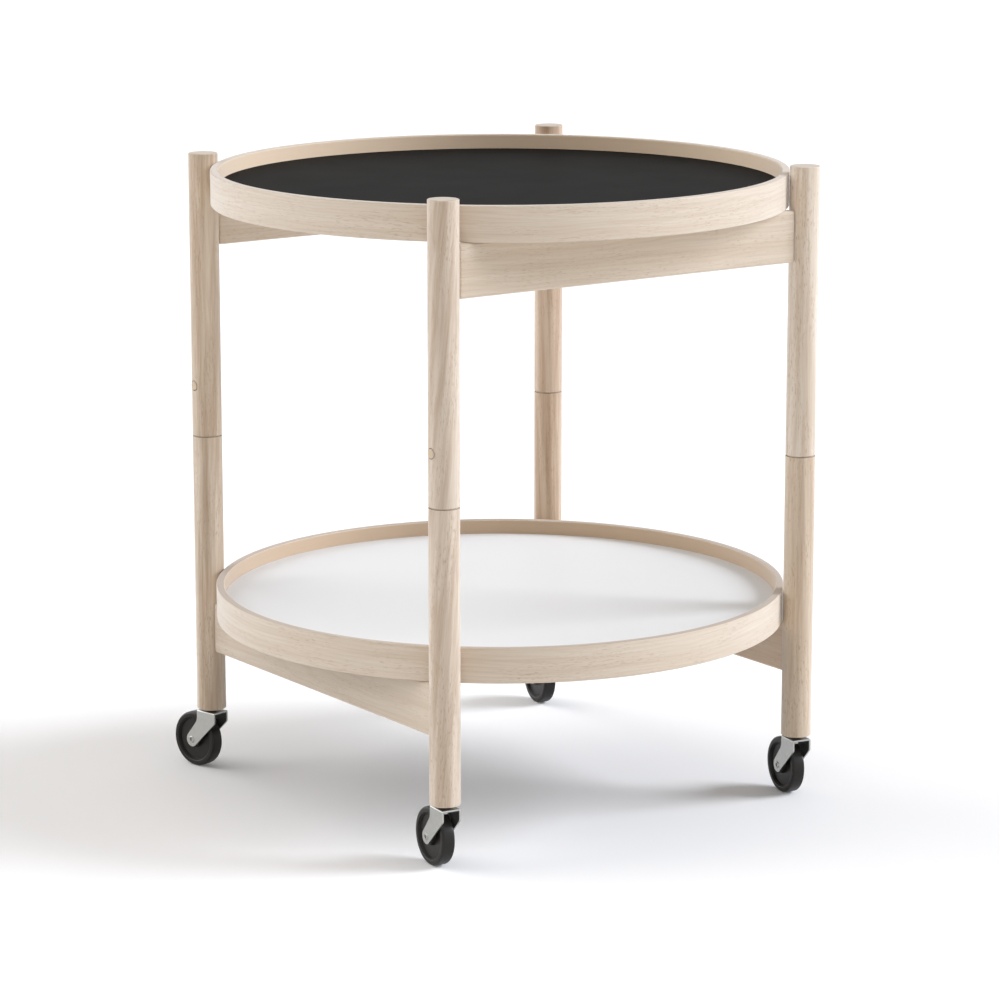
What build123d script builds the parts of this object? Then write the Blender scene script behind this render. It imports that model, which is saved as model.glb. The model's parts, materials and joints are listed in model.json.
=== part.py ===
"""A folding serving trolley: two round trays in a frame of four split beech legs on swivel casters.

The origin is on the floor under the middle of the trays, +Z is up, and all sizes are in millimetres.
Each leg is two turned rods that pivot on a wooden spindle. The upper rails join the upper rods in
pairs along X and the lower rails join the lower rods in pairs along Y, so that the frame folds flat
once the trays are lifted out. The trays rest on the rails and keep the frame square.
"""

import os
from math import asin, atan2, cos, radians, sin, sqrt

from build123d import *

# Trays: a bent beech hoop, a thin core in a groove half way up it, and a laminate on each side of the core
TRAY_RADIUS = 250.0
RIM_HEIGHT = 30.0
RIM_WALL = 7.0
RIM_EDGE = 1.2
WELL_DEPTH = 13.0
GROOVE_DEPTH = 3.0
LAMINATE = 0.5
CORE_EDGE_GAP = 0.3
LAMINATE_EDGE_GAP = 0.1

# Legs: two turned rods, one above the other
LEG_RADIUS = 13.0
LEG_ROD = 251.0
LEG_TOP_EDGE = 1.0
LEG_SPLIT_EDGE = 0.6
SPLIT_GROOVE_HEIGHT = 1.0
SPLIT_GROOVE_DEPTH = 1.5
TRAY_TO_LEG = 1.0

# Heights of the rails and the tray in the frame
RAIL_TOP_ABOVE_FOOT = 99.5
LEG_TOP_ABOVE_RIM = 7.0

# Rails: flat boards with rounded edges and a tenon at each end
RAIL_HEIGHT = 45.0
RAIL_THICKNESS = 8.0
RAIL_EDGE = 2.5
TENON_THICKNESS = 4.0
TENON_HEIGHT = 36.0
TENON_TO_AXIS = 1.5
MORTISE_END_GAP = 0.5
TENON_FIT = 0.05

# Pivot in each leg: a spindle glued in the lower rod and held by a dowel in the upper rod
SPINDLE_RADIUS = 8.0
SPINDLE_IN_LOWER = 60.0
SPINDLE_IN_UPPER = 70.0
SPINDLE_EDGE = 1.5
SPINDLE_RUNNING_FIT = 0.1
SPINDLE_END_GAP = 2.0
DOWEL_RADIUS = 4.0
DOWEL_ABOVE_SPLIT = 45.0
DOWEL_PROUD = 0.4
DOWEL_EDGE = 0.8
DOWEL_MOUTH_GAP = 0.7
DOWEL_MOUTH_DEPTH = 2.0
SPINDLE_GROOVE_DEPTH = 3.0
DOWEL_RUNNING_FIT = 0.2

# Casters, in the caster's own frame: the swivel axis is Z and the wheel trails along +Y
WHEEL_RADIUS = 25.0
WHEEL_WIDTH = 12.0
TREAD_EDGE = 2.0
WHEEL_BAND = 5.0
WHEEL_WEB = 7.0
WHEEL_BAND_SLOPE = 0.8
HUB_RADIUS = 7.5
HUB_FORK_GAP = 0.25
BUSH_RADIUS = 4.0
BUSH_RUNNING_FIT = 0.1
TRAIL = 17.5
FORK_WIDTH = 17.5
FORK_SHEET = 1.5
FORK_BEND = 1.2
FORK_FRONT = 11.5
FORK_BACK = 10.5
FORK_KNEE_DROP = 10.0
FORK_KNEE_RADIUS = 3.0
FORK_BACK_RADIUS = 9.0
FORK_EYE_RADIUS = 6.5
WHEEL_TO_PLATE = 2.5
AXLE_RADIUS = 2.5
AXLE_HEAD_RADIUS = 3.2
AXLE_HEAD = 0.7
AXLE_HEAD_TAPER_DEG = 30.0
AXLE_DIMPLE_RADIUS = 1.4
AXLE_DIMPLE = 0.4
STEM_RADIUS = 4.0
STEM_RUNNING_FIT = 0.1
STEM_IN_LEG = 34.0
STEM_TIP_EDGE = 1.0
STEM_HEAD_RADIUS = 5.0
STEM_HEAD = 4.0
STEM_HEAD_TAPER_DEG = 25.0
COLLAR_RADIUS = 5.0
COLLAR_HEIGHT = 2.5
SOCKET_WALL = 1.0
SOCKET_END = 1.0
SOCKET_END_GAP = 0.5

# Worked out from the sizes above
RIM_INNER_RADIUS = TRAY_RADIUS - RIM_WALL
GROOVE_RADIUS = RIM_INNER_RADIUS + GROOVE_DEPTH
CORE_RADIUS = GROOVE_RADIUS - CORE_EDGE_GAP
CORE_THICKNESS = RIM_HEIGHT - 2 * (WELL_DEPTH + LAMINATE)
LAMINATE_RADIUS = RIM_INNER_RADIUS - LAMINATE_EDGE_GAP
LEG_AXIS = (TRAY_RADIUS + TRAY_TO_LEG + LEG_RADIUS) / sqrt(2)
AXLE_Z = WHEEL_RADIUS
PLATE_TOP_Z = AXLE_Z + WHEEL_RADIUS + WHEEL_TO_PLATE + FORK_SHEET
LEG_FOOT_Z = PLATE_TOP_Z + COLLAR_HEIGHT
SPLIT_Z = LEG_FOOT_Z + LEG_ROD
LEG_TOP_Z = SPLIT_Z + LEG_ROD
UPPER_RAIL_TOP_Z = LEG_TOP_Z - LEG_TOP_ABOVE_RIM - RIM_HEIGHT
LOWER_RAIL_TOP_Z = LEG_FOOT_Z + RAIL_TOP_ABOVE_FOOT
DOWEL_Z = SPLIT_Z + DOWEL_ABOVE_SPLIT
FORK_GAP = FORK_WIDTH - 2 * FORK_SHEET
SOCKET_RADIUS = STEM_RADIUS + SOCKET_WALL

# Each leg's corner, as the signs of its X and Y
CORNER_SIGNS = {"front": (-1, -1), "right": (1, -1), "back": (1, 1), "left": (-1, 1)}
# How far each caster is turned from the +Y direction, as it was left
CASTER_TURN_DEG = {"front": -6.2, "right": -11.1, "back": -10.8, "left": 13.9}
# Each tray: the height it rests at and which laminate is on top
TRAYS = {
    "upper": (UPPER_RAIL_TOP_Z, "black", "white"),
    "lower": (LOWER_RAIL_TOP_Z, "white", "black"),
}


def save(name, builder):
    """Label a finished piece and write its own file."""
    builder.part.label = name
    export_step(builder.part, f"parts/{name}.step")


def leg_plane(corner_x, corner_y, z):
    """A level plane centred on one leg's axis."""
    return Plane((corner_x * LEG_AXIS, corner_y * LEG_AXIS, z))


def make_upper_leg(corner_x, corner_y):
    """The upper rod of a leg: spindle bore from below, dowel hole outside with a wider mouth, mortise inside."""
    mortise_depth = LEG_RADIUS - TENON_TO_AXIS + MORTISE_END_GAP
    rail_middle = UPPER_RAIL_TOP_Z - RAIL_HEIGHT / 2
    surface_x = corner_x * (LEG_AXIS - LEG_RADIUS)
    outside_x = corner_x * (LEG_AXIS + LEG_RADIUS)
    y = corner_y * LEG_AXIS
    with BuildPart() as rod:
        with BuildSketch(leg_plane(corner_x, corner_y, SPLIT_Z)):
            Circle(LEG_RADIUS)
        extrude(amount=LEG_ROD)
        chamfer(rod.edges().filter_by(GeomType.CIRCLE).sort_by(Axis.Z)[0], LEG_SPLIT_EDGE)
        fillet(rod.edges().filter_by(GeomType.CIRCLE).sort_by(Axis.Z)[-1], LEG_TOP_EDGE)
        with BuildSketch(leg_plane(corner_x, corner_y, SPLIT_Z)):
            Circle(SPINDLE_RADIUS + SPINDLE_RUNNING_FIT)
        extrude(amount=SPINDLE_IN_UPPER + SPINDLE_END_GAP, mode=Mode.SUBTRACT)
        with BuildSketch(Plane((outside_x, y, DOWEL_Z), z_dir=(-corner_x, 0, 0))):
            Circle(DOWEL_RADIUS)
        extrude(amount=LEG_RADIUS, mode=Mode.SUBTRACT)
        with BuildSketch(Plane((outside_x, y, DOWEL_Z), z_dir=(-corner_x, 0, 0))):
            Circle(DOWEL_RADIUS + DOWEL_MOUTH_GAP)
        extrude(amount=DOWEL_MOUTH_DEPTH, mode=Mode.SUBTRACT)
        with BuildSketch(Plane((surface_x, y, rail_middle), x_dir=(0, 1, 0), z_dir=(corner_x, 0, 0))):
            Rectangle(TENON_THICKNESS + 2 * TENON_FIT, TENON_HEIGHT + 2 * TENON_FIT)
        extrude(amount=mortise_depth, mode=Mode.SUBTRACT)
    return rod


def make_lower_leg(corner_x, corner_y):
    """The lower rod of a leg: shadow groove and spindle bore at the top, socket bore below, mortise inside."""
    mortise_depth = LEG_RADIUS - TENON_TO_AXIS + MORTISE_END_GAP
    rail_middle = LOWER_RAIL_TOP_Z - RAIL_HEIGHT / 2
    x = corner_x * LEG_AXIS
    surface_y = corner_y * (LEG_AXIS - LEG_RADIUS)
    socket_depth = STEM_IN_LEG + SOCKET_END_GAP + SOCKET_END
    with BuildPart() as rod:
        with BuildSketch(leg_plane(corner_x, corner_y, LEG_FOOT_Z)):
            Circle(LEG_RADIUS)
        extrude(amount=LEG_ROD)
        chamfer(rod.edges().filter_by(GeomType.CIRCLE).sort_by(Axis.Z)[0], LEG_SPLIT_EDGE)
        with BuildSketch(leg_plane(corner_x, corner_y, SPLIT_Z)):
            Circle(LEG_RADIUS)
            Circle(LEG_RADIUS - SPLIT_GROOVE_DEPTH, mode=Mode.SUBTRACT)
        extrude(amount=-SPLIT_GROOVE_HEIGHT, mode=Mode.SUBTRACT)
        with BuildSketch(leg_plane(corner_x, corner_y, SPLIT_Z)):
            Circle(SPINDLE_RADIUS)
        extrude(amount=-SPINDLE_IN_LOWER, mode=Mode.SUBTRACT)
        with BuildSketch(leg_plane(corner_x, corner_y, LEG_FOOT_Z)):
            Circle(SOCKET_RADIUS)
        extrude(amount=socket_depth, mode=Mode.SUBTRACT)
        with BuildSketch(Plane((x, surface_y, rail_middle), x_dir=(1, 0, 0), z_dir=(0, corner_y, 0))):
            Rectangle(TENON_THICKNESS + 2 * TENON_FIT, TENON_HEIGHT + 2 * TENON_FIT)
        extrude(amount=mortise_depth, mode=Mode.SUBTRACT)
    return rod


def make_spindle(corner_x, corner_y):
    """The pivot inside a leg, with the ring groove that the dowel's end runs in."""
    groove_half = DOWEL_RADIUS + DOWEL_RUNNING_FIT
    with BuildPart() as spindle:
        with BuildSketch(leg_plane(corner_x, corner_y, SPLIT_Z - SPINDLE_IN_LOWER)):
            Circle(SPINDLE_RADIUS)
        extrude(amount=SPINDLE_IN_LOWER + SPINDLE_IN_UPPER)
        chamfer(spindle.edges().filter_by(GeomType.CIRCLE).sort_by(Axis.Z)[-1], SPINDLE_EDGE)
        with BuildSketch(leg_plane(corner_x, corner_y, DOWEL_Z - groove_half)):
            Circle(SPINDLE_RADIUS)
            Circle(SPINDLE_RADIUS - SPINDLE_GROOVE_DEPTH, mode=Mode.SUBTRACT)
        extrude(amount=2 * groove_half, mode=Mode.SUBTRACT)
    return spindle


def make_dowel(corner_x, corner_y):
    """The short dowel in an upper rod, its flat outer end a little proud of the rod."""
    tip = SPINDLE_RADIUS - SPINDLE_GROOVE_DEPTH + DOWEL_RUNNING_FIT
    start = (corner_x * (LEG_AXIS + tip), corner_y * LEG_AXIS, DOWEL_Z)
    with BuildPart() as dowel:
        with BuildSketch(Plane(start, z_dir=(corner_x, 0, 0))):
            Circle(DOWEL_RADIUS)
        extrude(amount=LEG_RADIUS + DOWEL_PROUD - tip)
        fillet(dowel.faces().sort_by(Axis.X)[-1 if corner_x > 0 else 0].edges(), DOWEL_EDGE)
    return dowel


def make_rail(section):
    """A rail on a plane across its middle: rounded edges, flat shoulders at the legs, a tenon each end."""
    with BuildPart() as rail:
        with BuildSketch(section):
            Rectangle(RAIL_THICKNESS, RAIL_HEIGHT)
        extrude(amount=LEG_AXIS - LEG_RADIUS, both=True)
        fillet(rail.edges(), RAIL_EDGE)
        with BuildSketch(section):
            Rectangle(TENON_THICKNESS, TENON_HEIGHT)
        extrude(amount=LEG_AXIS - TENON_TO_AXIS, both=True)
    return rail


def make_rim(bottom_z):
    """A tray's bent hoop, with the core's groove inside."""
    with BuildPart() as rim:
        with BuildSketch(Plane.XY.offset(bottom_z)):
            Circle(TRAY_RADIUS)
            Circle(RIM_INNER_RADIUS, mode=Mode.SUBTRACT)
        extrude(amount=RIM_HEIGHT)
        fillet(rim.edges().filter_by(GeomType.CIRCLE), RIM_EDGE)
        with BuildSketch(Plane.XY.offset(bottom_z + WELL_DEPTH + LAMINATE)):
            Circle(GROOVE_RADIUS)
        extrude(amount=CORE_THICKNESS, mode=Mode.SUBTRACT)
    return rim


def make_disc(bottom_z, radius, thickness):
    """One layer of a tray's board."""
    with BuildPart() as disc:
        with BuildSketch(Plane.XY.offset(bottom_z)):
            Circle(radius)
        extrude(amount=thickness)
    return disc


def caster_frame(corner_x, corner_y, turn_deg):
    """A caster's own frame: on the floor under the leg, X along the axle and Y along the trail."""
    turn = radians(turn_deg)
    x_dir = (cos(turn), sin(turn), 0)
    return Plane((corner_x * LEG_AXIS, corner_y * LEG_AXIS, 0), x_dir=x_dir, z_dir=(0, 0, 1))


def upright(frame, across):
    """An upright plane in a caster's frame, across the axle: its X is the trail and its Y is up."""
    return Plane(frame.from_local_coords((across, 0, 0)), x_dir=frame.y_dir, z_dir=frame.x_dir)


def tangent_point(start, centre, radius, side):
    """Where a line from start touches a circle, on the side that lies to its left (1) or right (-1)."""
    way = centre - start
    heading = atan2(way.Y, way.X) + side * asin(radius / way.length)
    reach = sqrt(way.length**2 - radius**2)
    return start + Vector(reach * cos(heading), reach * sin(heading))


def make_fork(frame):
    """A caster's fork, folded from one sheet: a top plate and two arms that reach back to the axle."""
    eye = Vector(TRAIL, AXLE_Z)
    knee = Vector(-FORK_FRONT, PLATE_TOP_Z - FORK_KNEE_DROP)
    heel = Vector(FORK_BACK, PLATE_TOP_Z - FORK_KNEE_DROP)
    front_corner = Vector(-FORK_FRONT, PLATE_TOP_Z)
    back_corner = Vector(FORK_BACK, PLATE_TOP_Z)
    low = tangent_point(knee, eye, FORK_EYE_RADIUS, -1)
    high = tangent_point(heel, eye, FORK_EYE_RADIUS, 1)
    tip = eye + (eye - knee).normalized() * FORK_EYE_RADIUS
    with BuildPart() as fork:
        with BuildSketch(upright(frame, -FORK_WIDTH / 2)):
            with BuildLine():
                FilletPolyline(high, heel, back_corner, radius=FORK_BACK_RADIUS)
                Line(back_corner, front_corner)
                FilletPolyline(front_corner, knee, low, radius=FORK_KNEE_RADIUS)
                ThreePointArc(low, tip, high)
            make_face()
        extrude(amount=FORK_WIDTH)
        plate_sides = fork.faces().sort_by(Axis.Z)[-1].edges().filter_by(Axis(frame.origin, frame.y_dir))
        fillet(plate_sides, FORK_BEND)
        with BuildSketch(frame):
            Rectangle(FORK_GAP, 2 * (TRAIL + FORK_EYE_RADIUS))
        extrude(amount=PLATE_TOP_Z - FORK_SHEET, mode=Mode.SUBTRACT)
        with BuildSketch(frame.offset(PLATE_TOP_Z)):
            Circle(STEM_RADIUS + STEM_RUNNING_FIT)
        extrude(amount=-FORK_SHEET, mode=Mode.SUBTRACT)
        with BuildSketch(upright(frame, -FORK_WIDTH / 2)):
            with Locations(eye):
                Circle(AXLE_RADIUS)
        extrude(amount=FORK_WIDTH, mode=Mode.SUBTRACT)
    return fork


def make_wheel(frame):
    """A moulded wheel: a tread band, a thinner web and a hub, with a bore that turns on the bush."""
    band = WHEEL_RADIUS - WHEEL_BAND
    half = WHEEL_WIDTH / 2
    web = WHEEL_WEB / 2
    hub = FORK_GAP / 2 - HUB_FORK_GAP
    bore = BUSH_RADIUS + BUSH_RUNNING_FIT
    section = Plane(frame.from_local_coords((0, TRAIL, AXLE_Z)), x_dir=frame.x_dir, z_dir=-frame.y_dir)
    with BuildPart() as wheel:
        with BuildSketch(section) as profile:
            with BuildLine():
                Polyline(
                    (-hub, bore), (-hub, HUB_RADIUS), (-web, HUB_RADIUS + WHEEL_BAND_SLOPE),
                    (-web, band - WHEEL_BAND_SLOPE), (-half, band), (-half, WHEEL_RADIUS),
                    (half, WHEEL_RADIUS), (half, band), (web, band - WHEEL_BAND_SLOPE),
                    (web, HUB_RADIUS + WHEEL_BAND_SLOPE), (hub, HUB_RADIUS), (hub, bore), close=True,
                )
            make_face()
            fillet(profile.vertices().group_by(Axis.Y)[-1], TREAD_EDGE)
        revolve(axis=Axis(section.origin, frame.x_dir))
    return wheel


def make_bush(frame):
    """The steel tube that the fork is clamped on and the wheel turns on."""
    with BuildPart() as bush:
        with BuildSketch(upright(frame, -FORK_GAP / 2)):
            with Locations((TRAIL, AXLE_Z)):
                Circle(BUSH_RADIUS)
                Circle(AXLE_RADIUS, mode=Mode.SUBTRACT)
        extrude(amount=FORK_GAP)
    return bush


def make_axle(frame):
    """The rivet through the fork, with a low dimpled head outside each arm."""
    with BuildPart() as axle:
        with BuildSketch(upright(frame, -FORK_WIDTH / 2)):
            with Locations((TRAIL, AXLE_Z)):
                Circle(AXLE_RADIUS)
        extrude(amount=FORK_WIDTH)
        for side in (-1, 1):
            with BuildSketch(upright(frame, side * FORK_WIDTH / 2)):
                with Locations((TRAIL, AXLE_Z)):
                    Circle(AXLE_HEAD_RADIUS)
            extrude(amount=side * AXLE_HEAD, taper=AXLE_HEAD_TAPER_DEG)
            with BuildSketch(upright(frame, side * (FORK_WIDTH / 2 + AXLE_HEAD))):
                with Locations((TRAIL, AXLE_Z)):
                    Circle(AXLE_DIMPLE_RADIUS)
            extrude(amount=-side * AXLE_DIMPLE, mode=Mode.SUBTRACT)
    return axle


def make_stem(frame):
    """The swivel pin: pressed up into the leg's socket, with a riveted head under the fork's plate."""
    tip_z = LEG_FOOT_Z + STEM_IN_LEG
    with BuildPart() as stem:
        with BuildSketch(frame.offset(PLATE_TOP_Z - FORK_SHEET)):
            Circle(STEM_RADIUS)
        extrude(amount=tip_z - PLATE_TOP_Z + FORK_SHEET)
        chamfer(stem.edges().filter_by(GeomType.CIRCLE).sort_by(Axis.Z)[-1], STEM_TIP_EDGE)
        with BuildSketch(frame.offset(PLATE_TOP_Z - FORK_SHEET)):
            Circle(STEM_HEAD_RADIUS)
        extrude(amount=-STEM_HEAD, taper=STEM_HEAD_TAPER_DEG)
    return stem


def make_collar(frame):
    """The ring between the leg's foot and the fork's plate, which the fork turns under."""
    with BuildPart() as collar:
        with BuildSketch(frame.offset(PLATE_TOP_Z)):
            Circle(COLLAR_RADIUS)
            Circle(STEM_RADIUS, mode=Mode.SUBTRACT)
        extrude(amount=COLLAR_HEIGHT)
    return collar


def make_socket(frame):
    """The steel sleeve driven into the leg's foot to grip the stem."""
    depth = STEM_IN_LEG + SOCKET_END_GAP
    with BuildPart() as socket:
        with BuildSketch(frame.offset(LEG_FOOT_Z)):
            Circle(SOCKET_RADIUS)
        extrude(amount=depth + SOCKET_END)
        with BuildSketch(frame.offset(LEG_FOOT_Z)):
            Circle(STEM_RADIUS)
        extrude(amount=depth, mode=Mode.SUBTRACT)
    return socket


def make_trays():
    """Both trays: a rim, and a board of one core between two laminates."""
    for name, (bottom_z, top_colour, under_colour) in TRAYS.items():
        under_z = bottom_z + WELL_DEPTH
        core_z = under_z + LAMINATE
        top_z = core_z + CORE_THICKNESS
        save(f"{name}_tray_rim", make_rim(bottom_z))
        save(f"{name}_tray_{under_colour}_laminate", make_disc(under_z, LAMINATE_RADIUS, LAMINATE))
        save(f"{name}_tray_core", make_disc(core_z, CORE_RADIUS, CORE_THICKNESS))
        save(f"{name}_tray_{top_colour}_laminate", make_disc(top_z, LAMINATE_RADIUS, LAMINATE))


def make_rails():
    """The two upper rails run along X and the two lower rails along Y."""
    for name, side in (("front", -1), ("back", 1)):
        middle = (0, side * LEG_AXIS, UPPER_RAIL_TOP_Z - RAIL_HEIGHT / 2)
        save(f"upper_rail_{name}", make_rail(Plane(middle, x_dir=(0, 1, 0), z_dir=(1, 0, 0))))
    for name, side in (("left", -1), ("right", 1)):
        middle = (side * LEG_AXIS, 0, LOWER_RAIL_TOP_Z - RAIL_HEIGHT / 2)
        save(f"lower_rail_{name}", make_rail(Plane(middle, x_dir=(1, 0, 0), z_dir=(0, 1, 0))))


def make_legs():
    """The four split legs with their pivots and casters."""
    for name, (corner_x, corner_y) in CORNER_SIGNS.items():
        frame = caster_frame(corner_x, corner_y, CASTER_TURN_DEG[name])
        save(f"leg_upper_{name}", make_upper_leg(corner_x, corner_y))
        save(f"leg_lower_{name}", make_lower_leg(corner_x, corner_y))
        save(f"leg_spindle_{name}", make_spindle(corner_x, corner_y))
        save(f"leg_dowel_{name}", make_dowel(corner_x, corner_y))
        save(f"caster_socket_{name}", make_socket(frame))
        save(f"caster_stem_{name}", make_stem(frame))
        save(f"caster_collar_{name}", make_collar(frame))
        save(f"caster_fork_{name}", make_fork(frame))
        save(f"caster_axle_{name}", make_axle(frame))
        save(f"caster_bush_{name}", make_bush(frame))
        save(f"caster_wheel_{name}", make_wheel(frame))


os.makedirs("parts", exist_ok=True)
make_trays()
make_rails()
make_legs()
print(f"height {LEG_TOP_Z:.1f}, trays {2 * TRAY_RADIUS:.1f} across, leg axes {2 * LEG_AXIS:.1f} apart")
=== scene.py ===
"""Looks of a folding round serving trolley: soaped beech, laminate, plated steel and black nylon.

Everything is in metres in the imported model's frame: the origin is on the floor under the middle of
the trays, +Z is up, the upper rails run along X and the lower rails along Y.
"""

import json
import logging
import math
from collections.abc import Callable
from dataclasses import dataclass
from enum import Enum
from typing import ClassVar

import bmesh
import bpy
from mathutils import Matrix, Vector


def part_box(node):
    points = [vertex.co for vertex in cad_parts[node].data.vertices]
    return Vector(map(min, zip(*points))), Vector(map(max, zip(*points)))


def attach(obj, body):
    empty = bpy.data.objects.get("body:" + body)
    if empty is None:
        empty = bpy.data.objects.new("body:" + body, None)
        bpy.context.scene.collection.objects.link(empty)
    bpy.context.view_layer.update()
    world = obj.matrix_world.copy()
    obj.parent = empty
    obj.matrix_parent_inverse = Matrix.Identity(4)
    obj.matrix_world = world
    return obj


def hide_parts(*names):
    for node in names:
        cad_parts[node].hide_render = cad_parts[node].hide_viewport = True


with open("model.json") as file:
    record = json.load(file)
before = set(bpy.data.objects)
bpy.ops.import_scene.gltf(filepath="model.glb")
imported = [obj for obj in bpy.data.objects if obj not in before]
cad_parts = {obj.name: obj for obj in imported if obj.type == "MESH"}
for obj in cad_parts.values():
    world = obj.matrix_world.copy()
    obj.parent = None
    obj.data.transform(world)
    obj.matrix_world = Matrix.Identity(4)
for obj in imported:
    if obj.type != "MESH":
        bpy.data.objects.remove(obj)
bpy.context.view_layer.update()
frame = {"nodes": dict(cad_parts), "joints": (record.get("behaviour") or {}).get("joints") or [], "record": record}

log = logging.getLogger("trolley")
MM = 0.001
# A direction runs along an axis if more than the first part of it does, and across it if less than the
# second part does
ALONG = 0.9
ACROSS = 0.1

Tree = bpy.types.NodeTree
Socket = bpy.types.NodeSocket
# A test takes the middle and the normal of a face, or the middle and the direction of an edge
Test = Callable[[Vector, Vector], bool]


class Grain(Enum):
    """Which way a piece's wood fibres run."""

    ALONG_X = "along x"
    ALONG_Y = "along y"
    ALONG_Z = "along z"
    AROUND_Z = "around z"


class Level(Enum):
    """The trolley's two levels: each has a tray, two rails and four rods."""

    UPPER = "upper"
    LOWER = "lower"


class Corner(Enum):
    """The four legs, by where they stand in the photo."""

    FRONT = "front"
    RIGHT = "right"
    BACK = "back"
    LEFT = "left"


class Element(Enum):
    """What is picked of a mesh in edit mode."""

    FACE = "FACE"
    EDGE = "EDGE"


def linear(hex_colour: str) -> tuple[float, float, float, float]:
    """Turns an sRGB hex colour into linear light.

    Args:
        hex_colour: Six hex digits, with or without a leading #.

    Returns:
        Red, green, blue and alpha, from 0 to 1.
    """
    digits = hex_colour.lstrip("#")
    channels = [int(digits[i : i + 2], 16) / 255 for i in (0, 2, 4)]
    lit = [c / 12.92 if c <= 0.04045 else ((c + 0.055) / 1.055) ** 2.4 for c in channels]
    return (lit[0], lit[1], lit[2], 1.0)


def add_node(
    tree: Tree, kind: str, inputs: dict[str | int, object] | None = None, **settings: object
) -> bpy.types.Node:
    """Adds one node, with its settings, its inputs' values and its links.

    Args:
        tree: The tree that gets the node.
        kind: The node's type name.
        inputs: Input names or numbers, each with a value or with the socket it is linked from.
        **settings: Property names with their values.

    Returns:
        The new node.
    """
    node = tree.nodes.new(kind)
    for name, value in settings.items():
        setattr(node, name, value)
    for key, value in (inputs or {}).items():
        if isinstance(value, Socket):
            tree.links.new(value, node.inputs[key])
        else:
            node.inputs[key].default_value = value
    return node


def seen_by(tree: Tree, *rays: str) -> Socket:
    """Tells rays of some kinds from all others.

    Args:
        tree: The tree that gets the nodes.
        *rays: The kinds, by the names of Light Path's outputs.

    Returns:
        1 for a ray of one of the kinds, and 0 for any other.
    """
    path = add_node(tree, "ShaderNodeLightPath").outputs
    seen = path[rays[0]]
    for ray in rays[1:]:
        seen = add_node(tree, "ShaderNodeMath", {0: seen, 1: path[ray]}, operation="MAXIMUM").outputs[0]
    return seen


@dataclass(frozen=True)
class Finish:
    """A material.

    Attributes:
        name: What it is, and how its surface was made.
    """

    name: str

    def build(self) -> bpy.types.Material:
        """Makes the material.

        Returns:
            The material.
        """
        material = bpy.data.materials.new(self.name)
        material.use_nodes = True
        tree = material.node_tree
        tree.nodes.clear()
        add_node(tree, "ShaderNodeOutputMaterial", {"Surface": self._surface(tree)})
        return material

    def _surface(self, tree: Tree) -> Socket:
        """Makes the shader, which each kind of finish does in its own way."""
        raise NotImplementedError


@dataclass(frozen=True)
class Streaks:
    """A noise drawn out along the grain.

    Attributes:
        along_mm: Its size along the grain.
        across_mm: Its size across the grain.
        detail: How many finer layers it has.
        low: The noise's value that becomes 0 in the pattern.
        high: The noise's value that becomes 1 in the pattern.
    """

    along_mm: float
    across_mm: float
    detail: float
    low: float = 0.0
    high: float = 1.0

    def noise(self, tree: Tree, board: Socket) -> Socket:
        """Makes the bare noise.

        Args:
            tree: The material's node tree.
            board: The board coordinates.

        Returns:
            The noise, which is mostly near 0.5.
        """
        size = (self.along_mm, self.across_mm, self.across_mm)
        scaled = add_node(tree, "ShaderNodeVectorMath", {0: board, 1: size}, operation="DIVIDE").outputs[0]
        inputs = {"Vector": scaled, "Scale": 1.0, "Detail": self.detail}
        return add_node(tree, "ShaderNodeTexNoise", inputs).outputs[0]

    def pattern(self, tree: Tree, board: Socket) -> Socket:
        """Makes the noise, spread out between its two values.

        Args:
            tree: The material's node tree.
            board: The board coordinates.

        Returns:
            The pattern, from 0 to 1.
        """
        inputs = {"Value": self.noise(tree, board), "From Min": self.low, "From Max": self.high}
        return add_node(tree, "ShaderNodeMapRange", inputs, interpolation_type="SMOOTHSTEP").outputs["Result"]


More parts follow.
